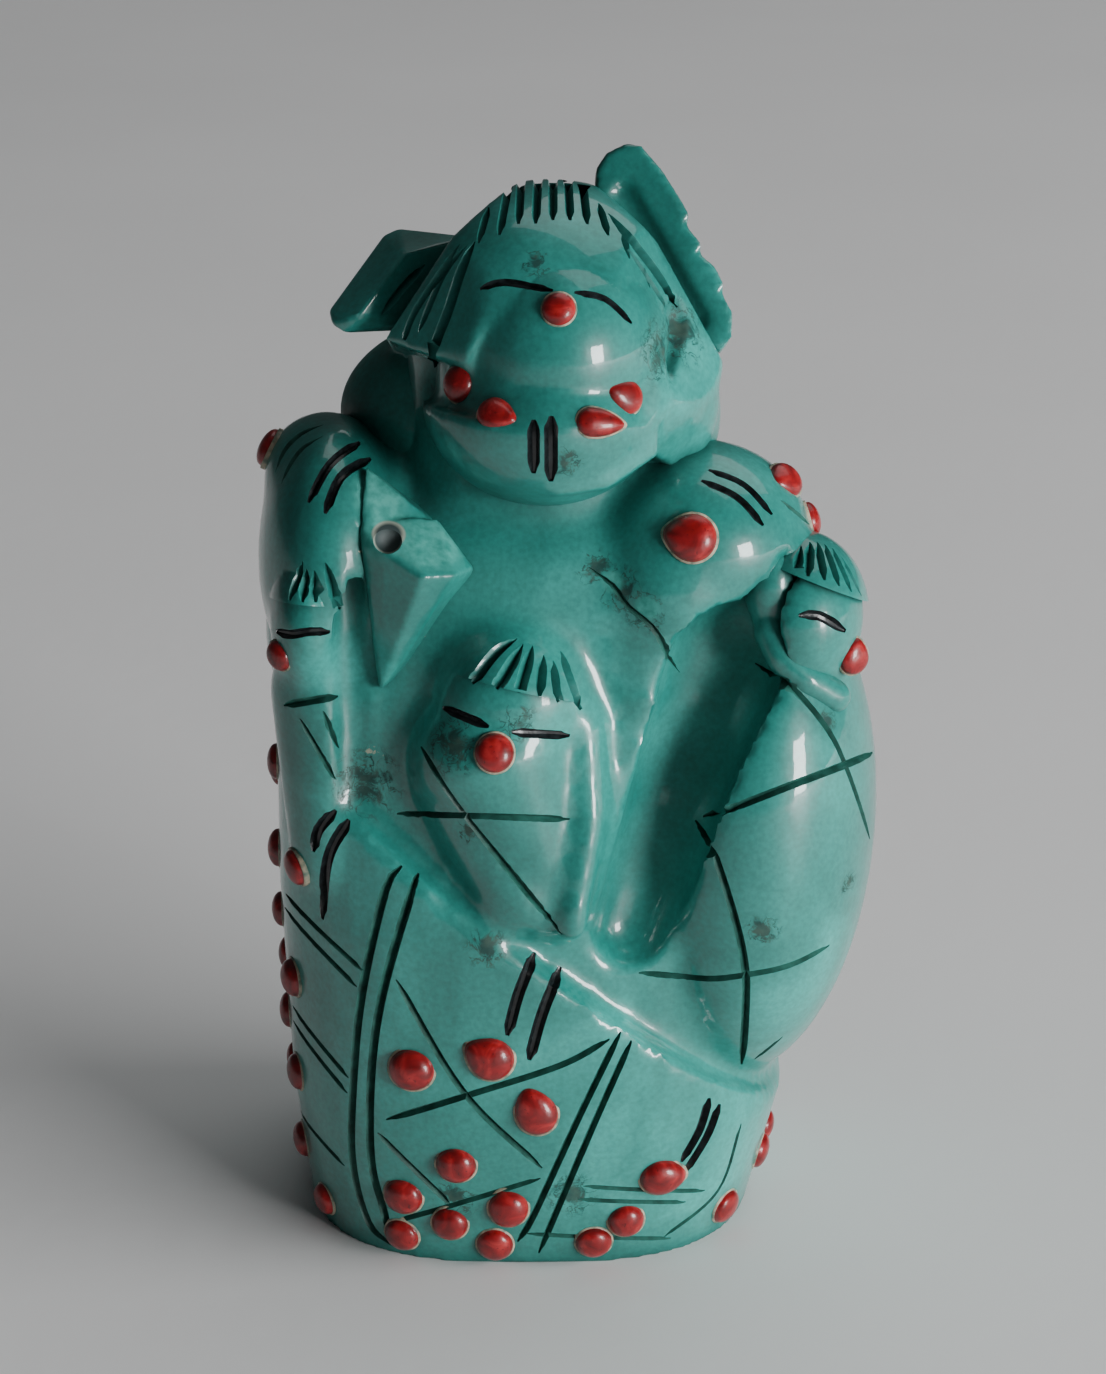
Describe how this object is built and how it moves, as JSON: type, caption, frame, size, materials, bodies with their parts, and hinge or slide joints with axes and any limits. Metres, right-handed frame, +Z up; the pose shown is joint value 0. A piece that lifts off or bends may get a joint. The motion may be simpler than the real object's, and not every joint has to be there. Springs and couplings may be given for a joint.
{
  "type": "carved stone figure",
  "caption": "Small carved turquoise mother holding swaddled babies, wrapped in a blanket and inlaid with coral dots, on a flat underside.",
  "frame": {"origin": "on the flat underside, below the middle of the body", "axes": "+Z up the figure, -Y the way it faces, +X to the viewer's right"},
  "size_m": [0.0346, 0.0291, 0.061],
  "materials": {
    "turquoise": "gloss",
    "coral": "gloss"
  },
  "bodies": {
    "root": {"turquoise_figure": "turquoise", "coral_mouth": "coral", "coral_necklace_1": "coral", "coral_necklace_2": "coral", "coral_necklace_3": "coral", "coral_necklace_4": "coral", "coral_left_arm": "coral", "coral_right_arm_1": "coral", "coral_right_arm_2": "coral", "coral_right_arm_3": "coral", "coral_left_baby_mouth": "coral", "coral_middle_baby_mouth": "coral", "coral_right_baby_mouth": "coral", "coral_flank_1": "coral", "coral_flank_2": "coral", "coral_flank_3": "coral", "coral_flank_4": "coral", "coral_flank_5": "coral", "coral_flank_6": "coral", "coral_flank_7": "coral", "coral_flank_8": "coral", "coral_flank_9": "coral", "coral_flank_10": "coral", "coral_flank_11": "coral", "coral_flank_12": "coral", "coral_hem_1": "coral", "coral_hem_2": "coral", "coral_hem_3": "coral", "coral_hem_4": "coral", "coral_hem_5": "coral", "coral_hem_6": "coral", "coral_hem_7": "coral", "coral_front_1": "coral", "coral_front_2": "coral", "coral_front_3": "coral", "coral_front_4": "coral", "coral_front_5": "coral", "coral_front_6": "coral", "coral_front_7": "coral", "coral_front_8": "coral", "coral_front_9": "coral", "coral_back_1": "coral", "coral_back_2": "coral", "coral_back_3": "coral", "coral_back_4": "coral", "coral_back_5": "coral", "coral_back_6": "coral", "coral_back_7": "coral", "coral_back_8": "coral"}
  },
  "joints": []
}
